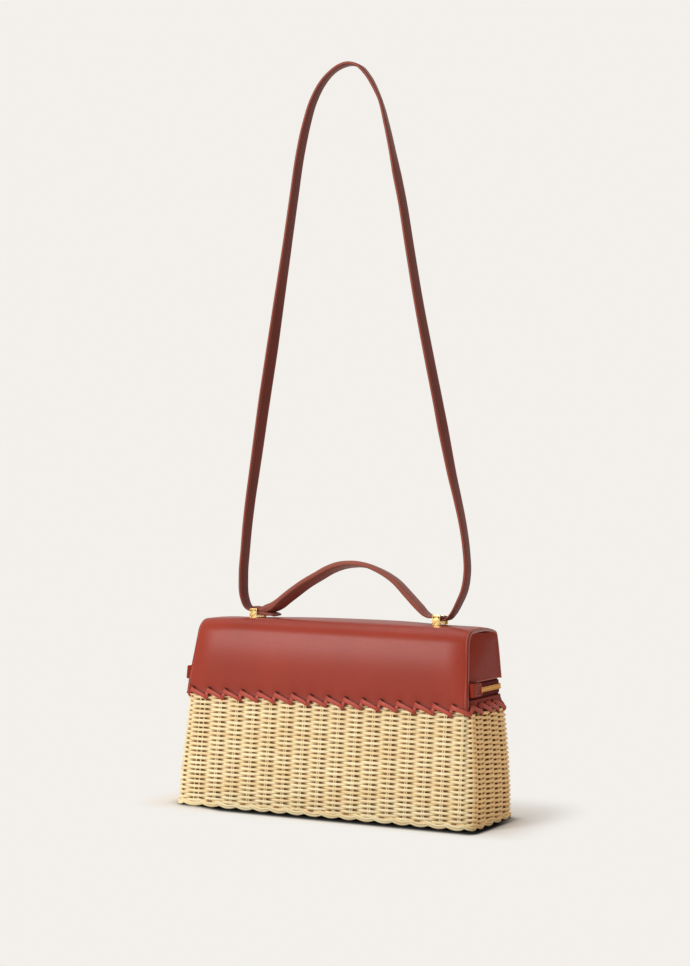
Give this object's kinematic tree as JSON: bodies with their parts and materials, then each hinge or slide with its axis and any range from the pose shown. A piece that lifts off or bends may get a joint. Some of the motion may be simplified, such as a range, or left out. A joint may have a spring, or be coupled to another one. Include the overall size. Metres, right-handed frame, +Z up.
{
  "type": "leather bag",
  "caption": "Top-handle shoulder bag with a woven wicker basket body, a folded leather upper laced to it and a zip round the back and ends.",
  "frame": {"origin": "on the floor, at the middle of the foot border", "axes": "+X to the right along the bag, +Y from the front to the back, +Z up"},
  "size_m": [0.281, 0.104, 0.6468],
  "materials": {
    "wicker": "dry split willow",
    "board": "raw fibre board",
    "lining": "plain woven cotton",
    "leather_upper": "smooth, soft sheen",
    "leather_trim": "smooth, soft sheen",
    "leather_lace": "smooth cord",
    "leather_strap": "smooth with painted edges",
    "zip_tape": "woven tape",
    "gold_metal": "polished light gold"
  },
  "bodies": {
    "bag": {"foot_border": "wicker", "basket_wall": "wicker", "basket_rim": "wicker", "basket_base": "board", "lining": "lining", "cover_panel": "leather_upper", "top_stiffener": "board", "end_panel_left": "leather_upper", "end_panel_right": "leather_upper", "collar_band": "leather_upper", "zip_tape_lower": "zip_tape", "zip_tape_upper": "zip_tape", "zip_teeth": "gold_metal", "zip_tab_left": "leather_trim", "zip_tab_right": "leather_trim", "zip_stop": "gold_metal", "lacing": "leather_lace", "ring_left": "gold_metal", "ring_right": "gold_metal", "ring_nuts": "gold_metal", "handle_pins": "gold_metal", "strap_pins": "gold_metal", "handle": "leather_strap", "shoulder_strap": "leather_strap"},
    "slider": {"zip_slider": "gold_metal"},
    "puller": {"zip_puller": "gold_metal"}
  },
  "joints": [
    {"name": "zip_slide", "type": "slide", "parent": "bag", "child": "slider", "axis": [0, 1, 0], "range_m": [0, 0.034]},
    {"name": "puller_swing", "type": "hinge", "parent": "slider", "child": "puller", "pos_m": [-0.13026, -0.00853, 0.11268], "axis": [0.0649, 0, 0.9979], "range_deg": [0, 140]}
  ]
}
